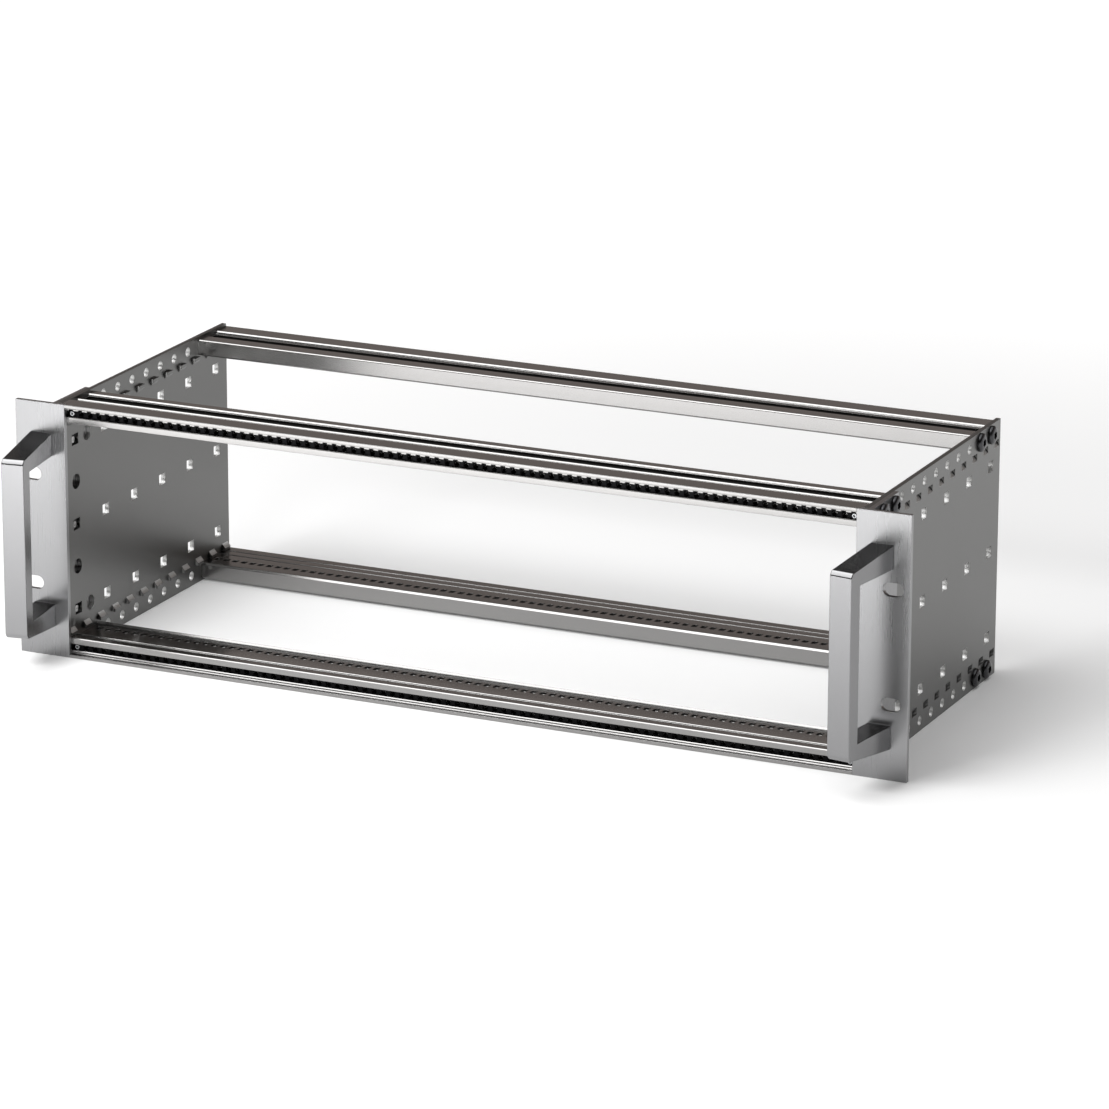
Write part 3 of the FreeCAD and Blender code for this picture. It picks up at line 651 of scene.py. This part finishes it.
painted = add(notch_tree, "GeometryNodeSetMaterial", None,
              {"Geometry": real.outputs[0], "Selection": same.outputs[0],
               "Material": given.outputs["Finish"]})
add(notch_tree, "NodeGroupOutput", None, {0: painted.outputs[0]})
print("The notch tree has", len(notch_tree.nodes), "nodes")


# %% Set the sizes of the notches
NOTCH_DEPTH, NOTCH_HEIGHT = 3.0, 62.95
NOTCH_SIZE = (2.6, 2.4, 1.3)


def notched(piece):
    """Cut the row of notches into the upper lip of the top front rail."""
    use_tree(piece, notch_tree, {
        "Count": UNIT_COUNT, "Pitch": (UNIT_PITCH * MM, 0, 0),
        "Start": (FIRST_UNIT * MM, NOTCH_DEPTH * MM, NOTCH_HEIGHT * MM),
        "Size": tuple(side * MM for side in NOTCH_SIZE), "Finish": finishes["rail"]})


print("A notch is", NOTCH_SIZE[0], "mm wide")


# %% [markdown]
# ## Panels, brackets, handles and rails
# The panels are thin sheet with only a hair's breadth of edge, the brackets are a little softer, and
# the handles are rounded enough to be held. The rails have the widest choice of edges, and all four get
# their deep perforations and slot. Each piece is its CAD node with these changes, so that nothing moves.

# %% Soften panels, brackets and handles
PANEL_EDGE, BRACKET_EDGE, HANDLE_EDGE = 0.12, 0.2, 0.5
SCREW_HOLE, VENT, HANDLE_SCREW_HOLE = 2.4, 3.85, 2.65


def panel_change(shell):
    """Round a panel's holes and bare its cut edges."""
    print(round_rims(shell, 0, (SCREW_HOLE, VENT)), "panel rims made round")
    bare_cuts(shell)


def bracket_change(shell):
    """Round a bracket's holes, those along X and those along Y."""
    along_x = round_rims(shell, 0, (SCREW_HOLE,))
    print(along_x + round_rims(shell, 1, (HANDLE_SCREW_HOLE,)), "bracket rims made round")


for side in ("left", "right"):
    softened(f"side_panel_{side}", ["panel", "cut_edge_and_highlight"], PANEL_EDGE, change=panel_change)
    softened(f"front_bracket_{side}", ["bracket"], BRACKET_EDGE, change=bracket_change)
    softened(f"handle_{side}", ["handle"], HANDLE_EDGE)

# %% Soften the rails
RAIL_EDGE, RAIL_LONG_EDGE = 0.1, 0.25
FRONT_SLOT, REAR_SLOT = (18.3, 27.6), (154.8, 162.5)


def front_rail_change(shell):
    """Deepen the perforations and the outer groove of a front rail."""
    deep_pockets(shell)
    deep_groove(shell, *FRONT_SLOT)


def rear_rail_change(shell):
    """Deepen the perforations and the outer groove of a rear rail."""
    deep_pockets(shell)
    deep_groove(shell, *REAR_SLOT)


for end, cutter in (("top", notched), ("bottom", None)):
    softened(f"front_rail_{end}", ["rail", "slot"], RAIL_EDGE, RAIL_LONG_EDGE, front_rail_change, cutter)
    softened(f"rear_rail_{end}", ["rail", "slot"], RAIL_EDGE, RAIL_LONG_EDGE, rear_rail_change)

# %% [markdown]
# ## Turned parts
# Screws and pins are shapes turned about an axis. A spin of a drawn profile would make them too, but it
# can't make the drive recess. Here each is a stack of rings of points joined by faces, and a ring may
# swing in and out six times around, which gives the recess its six lobes.

# %% A function for turned parts
CREASE = math.radians(35)


def turned(name, rings, sides=48):
    """A closed shell about Z. A ring is its radius, its height and the depth of its six lobes, in mm."""
    shell = bmesh.new()
    loops = []
    for radius, height, wave in rings:
        loop = []
        for step in range(sides):
            angle = 2 * math.pi * step / sides
            reach = (radius + wave * math.cos(6 * angle)) * MM
            loop.append(shell.verts.new((reach * math.cos(angle), reach * math.sin(angle), height * MM)))
        loops.append(loop)
    for lower, upper in zip(loops, loops[1:]):
        for step in range(sides):
            shell.faces.new((lower[step - 1], lower[step], upper[step], upper[step - 1]))
    shell.faces.new(loops[-1])
    shell.faces.new(list(reversed(loops[0])))
    mesh = bpy.data.meshes.new(name)
    shell.to_mesh(mesh)
    shell.free()
    mesh.shade_smooth()
    mesh.set_sharp_from_angle(angle=CREASE)
    return bpy.data.objects.new(name, mesh)


# %% Shape the fasteners
rail_screw = turned("rail_screw", (
    (1.6, -14, 0), (2, -13.6, 0), (2, -0.2, 0), (2.2, 0, 0), (4.5, 0, 0), (4.7, 0.2, 0), (4.7, 0.85, 0),
    (4.62, 1.15, 0), (4.35, 1.5, 0), (3.8, 1.85, 0), (3.1, 2.08, 0), (2.35, 2.19, 0),
    (1.9, 2.2, 0.22), (1.8, 2.12, 0.24), (1.74, 0.9, 0.24), (0.9, 0.6, 0)))
handle_screw = turned("handle_screw", (
    (2, -12, 0), (2.5, -11.5, 0), (2.5, -0.2, 0), (2.7, 0, 0), (4.05, 0, 0), (4.25, 0.2, 0), (4.25, 2.5, 0),
    (4.15, 2.82, 0), (3.85, 3, 0), (2.1, 3, 0), (1.95, 2.9, 0.2), (1.9, 1.3, 0.2), (1, 1, 0)))
set_screw = turned("set_screw", (
    (1, -3, 0), (1.25, -2.75, 0), (1.25, -0.2, 0), (1.05, 0, 0), (0.72, 0, 0), (0.62, -0.1, 0.07),
    (0.6, -1, 0.07)), 36)
bracket_pin = turned("bracket_pin", (
    (1.7, 0, 0), (2, 0.3, 0), (2, 2.5, 0), (1.7, 2.8, 0), (0.5, 2.8, 0), (0.3, 2.65, 0)))
print("A rail screw has", len(rail_screw.data.polygons), "faces")

# %% [markdown]
# ## Fasteners in rows
# The same screw sits in many places, always in a level grid, so a small Geometry Nodes tree puts
# copies on a grid's points, turns the grid to face its way, and moves it to its place. The sizes are
# inputs of the tree, read from the box of the CAD node that the copies stand for, so that every screw
# stands exactly where the CAD model has it.

# %% Build the tree that copies a part on a grid
grid_tree, given = new_tree("copies_on_a_grid", (
    ("Part", "NodeSocketObject"), ("Columns", "NodeSocketInt"), ("Rows", "NodeSocketInt"),
    ("Width", "NodeSocketFloat"), ("Height", "NodeSocketFloat"), ("Facing", "NodeSocketRotation"),
    ("Place", "NodeSocketVector"), ("Finish", "NodeSocketMaterial")))
points = add(grid_tree, "GeometryNodeMeshGrid", None,
             {"Size X": given.outputs["Width"], "Size Y": given.outputs["Height"],
              "Vertices X": given.outputs["Columns"], "Vertices Y": given.outputs["Rows"]})
part = add(grid_tree, "GeometryNodeObjectInfo", None, {"Object": given.outputs["Part"]})
copies = add(grid_tree, "GeometryNodeInstanceOnPoints", None,
             {"Points": points.outputs["Mesh"], "Instance": part.outputs["Geometry"]})
moved = add(grid_tree, "GeometryNodeTransform", None,
            {"Geometry": copies.outputs[0], "Rotation": given.outputs["Facing"],
             "Translation": given.outputs["Place"]})
real = add(grid_tree, "GeometryNodeRealizeInstances", None, {0: moved.outputs[0]})
painted = add(grid_tree, "GeometryNodeSetMaterial", None,
              {"Geometry": real.outputs[0], "Material": given.outputs["Finish"]})
add(grid_tree, "NodeGroupOutput", None, {0: painted.outputs[0]})
print("Tree inputs:", [item.name for item in grid_tree.interface.items_tree if item.in_out == "INPUT"])


# %% Place the fasteners
def with_tree(name, tree, values):
    """A new object shaped by a geometry tree."""
    piece = bpy.data.objects.new(name, bpy.data.meshes.new(name))
    use_tree(piece, tree, values)
    bpy.context.scene.collection.objects.link(piece)
    return piece


QUARTER = math.pi / 2
FACING = {"+X": (0, QUARTER, 0), "-X": (0, -QUARTER, 0), "+Y": (-QUARTER, 0, 0), "-Y": (QUARTER, 0, 0)}


def fasteners(node, slot, part, facing, radius, columns, rows):
    """Copies of a turned part at the even places in a node's box, heads pointing the given way."""
    low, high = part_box(node)
    middle = (low + high) / 2
    span = high - low - Vector((2, 2, 2)) * radius * MM
    top = max(vertex.co.z for vertex in part.data.vertices)
    if facing[1] == "X":
        width, height = span.z, span.y
        middle.x = high.x - top if facing == "+X" else low.x + top
    else:
        width, height = span.x, span.z
        middle.y = high.y - top if facing == "+Y" else low.y + top
    values = {"Part": part, "Columns": columns, "Rows": rows, "Width": max(width, 0),
              "Height": max(height, 0), "Facing": FACING[facing], "Place": middle,
              "Finish": finishes[slot]}
    return finished(with_tree(f"{node}_fine", grid_tree, values), slot, node)


RAIL_HEAD, HANDLE_HEAD, PIN_RADIUS, SET_SCREW_RADIUS = 4.7, 4.25, 2, 1.25
for side, facing, inward in (("left", "-X", "+X"), ("right", "+X", "-X")):
    fasteners(f"rail_screws_front_{side}", "screw", rail_screw, facing, RAIL_HEAD, 2, 2)
    fasteners(f"rail_screws_rear_{side}", "screw", rail_screw, facing, RAIL_HEAD, 2, 2)
    fasteners(f"handle_screws_{side}", "screw", handle_screw, "+Y", HANDLE_HEAD, 1, 2)
    fasteners(f"bracket_pins_{side}", "pin", bracket_pin, inward, PIN_RADIUS, 3, 1)
for end in ("top", "bottom"):
    fasteners(f"strip_screws_{end}", "set_screw", set_screw, "-Y", SET_SCREW_RADIUS, 2, 1)

# %% [markdown]
# ## The threaded strips
# Behind the front lip of each front rail lies a steel strip with one threaded hole for each unit of
# width, and module panels are screwed into it. Drilling a long bar would leave long thin faces. Instead
# one short length with its hole is modelled, and a Geometry Nodes tree repeats it along the rail, welds
# the joints and trims both ends to the strip's real length.

# %% Model one unit of the strip
def strip_unit(pitch, height, depth, hole, sink, sides=24):
    """One unit of strip with a countersunk hole along Y. All sizes are in millimetres."""
    shell = bmesh.new()

    def ring(radius, y):
        turns = [2 * math.pi * step / sides for step in range(sides)]
        return [shell.verts.new((radius * MM * math.cos(turn), y * MM, radius * MM * math.sin(turn)))
                for turn in turns]

    def border(y):
        points = []
        for step in range(sides):
            across = math.cos(2 * math.pi * step / sides)
            rise = math.sin(2 * math.pi * step / sides)
            reach = min(pitch / 2 / max(abs(across), 1e-9), height / 2 / max(abs(rise), 1e-9))
            corner = step % (sides // 4) == sides // 8
            x = math.copysign(pitch / 2, across) if corner else across * reach
            z = math.copysign(height / 2, rise) if corner else rise * reach
            points.append(shell.verts.new((x * MM, y * MM, z * MM)))
        return points

    half = depth / 2
    loops = [border(half), ring(hole, half), ring(hole, sink - half), ring(hole + sink, -half), border(-half)]
    for first, second in zip(loops, loops[1:]):
        for step in range(sides):
            shell.faces.new((first[step - 1], first[step], second[step], second[step - 1]))
    rear, front = loops[0], loops[-1]
    for step in range(sides):
        ends = (rear[step - 1], rear[step])
        if all(abs(abs(point.co.z) - height / 2 * MM) < 1e-7 for point in ends):
            shell.faces.new((rear[step], rear[step - 1], front[step - 1], front[step]))
    bmesh.ops.recalc_face_normals(shell, faces=shell.faces)
    mesh = bpy.data.meshes.new("strip_unit")
    shell.to_mesh(mesh)
    shell.free()
    return bpy.data.objects.new("strip_unit", mesh)


THREAD_RADIUS, COUNTERSINK = 1.25, 0.25
low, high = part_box("threaded_strip_top")
unit = strip_unit(UNIT_PITCH, (high.z - low.z) / MM, (high.y - low.y) / MM, THREAD_RADIUS, COUNTERSINK)
print("One unit of strip has", len(unit.data.polygons), "faces")

# %% Build the tree that makes a strip
strip_tree, given = new_tree("strip_of_units", (
    ("Part", "NodeSocketObject"), ("Count", "NodeSocketInt"), ("Pitch", "NodeSocketVector"),
    ("Start", "NodeSocketVector"), ("Lowest", "NodeSocketVector"), ("Highest", "NodeSocketVector"),
    ("Finish", "NodeSocketMaterial")))
line = add(strip_tree, "GeometryNodeMeshLine", None,
           {"Count": given.outputs["Count"], "Start Location": given.outputs["Start"],
            "Offset": given.outputs["Pitch"]})
part = add(strip_tree, "GeometryNodeObjectInfo", None, {"Object": given.outputs["Part"]})
copies = add(strip_tree, "GeometryNodeInstanceOnPoints", None,
             {"Points": line.outputs["Mesh"], "Instance": part.outputs["Geometry"]})
welded = add(strip_tree, "GeometryNodeRealizeInstances", None, {0: copies.outputs[0]})
welded = add(strip_tree, "GeometryNodeMergeByDistance", None,
             {"Geometry": welded.outputs[0], "Distance": 0.01 * MM})
where = add(strip_tree, "GeometryNodeInputPosition")
raised = add(strip_tree, "ShaderNodeVectorMath", {"operation": "MAXIMUM"},
             {0: where.outputs[0], 1: given.outputs["Lowest"]})
trimmed = add(strip_tree, "ShaderNodeVectorMath", {"operation": "MINIMUM"},
              {0: raised.outputs[0], 1: given.outputs["Highest"]})
placed = add(strip_tree, "GeometryNodeSetPosition", None,
             {"Geometry": welded.outputs[0], "Position": trimmed.outputs[0]})
real = add(strip_tree, "GeometryNodeRealizeInstances", None, {0: placed.outputs[0]})
painted = add(strip_tree, "GeometryNodeSetMaterial", None,
              {"Geometry": real.outputs[0], "Material": given.outputs["Finish"]})
add(strip_tree, "NodeGroupOutput", None, {0: painted.outputs[0]})
print("The strip tree has", len(strip_tree.nodes), "nodes")

# %% Make both strips
for end in ("top", "bottom"):
    node = f"threaded_strip_{end}"
    low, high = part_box(node)
    start = (low + high) / 2
    start.x = FIRST_UNIT * MM
    # The strip's near-black finish is painted shade of its channel
    values = {"Part": unit, "Count": UNIT_COUNT, "Pitch": (UNIT_PITCH * MM, 0, 0), "Start": start,
              "Lowest": low, "Highest": high, "Finish": finishes["strip"]}
    piece = finished(with_tree(f"{node}_fine", strip_tree, values), "strip", node)
    shell = bmesh.new()
    shell.from_mesh(piece.data)
    bmesh.ops.holes_fill(shell, edges=[edge for edge in shell.edges if edge.is_boundary])
    shell.to_mesh(piece.data)
    shell.free()
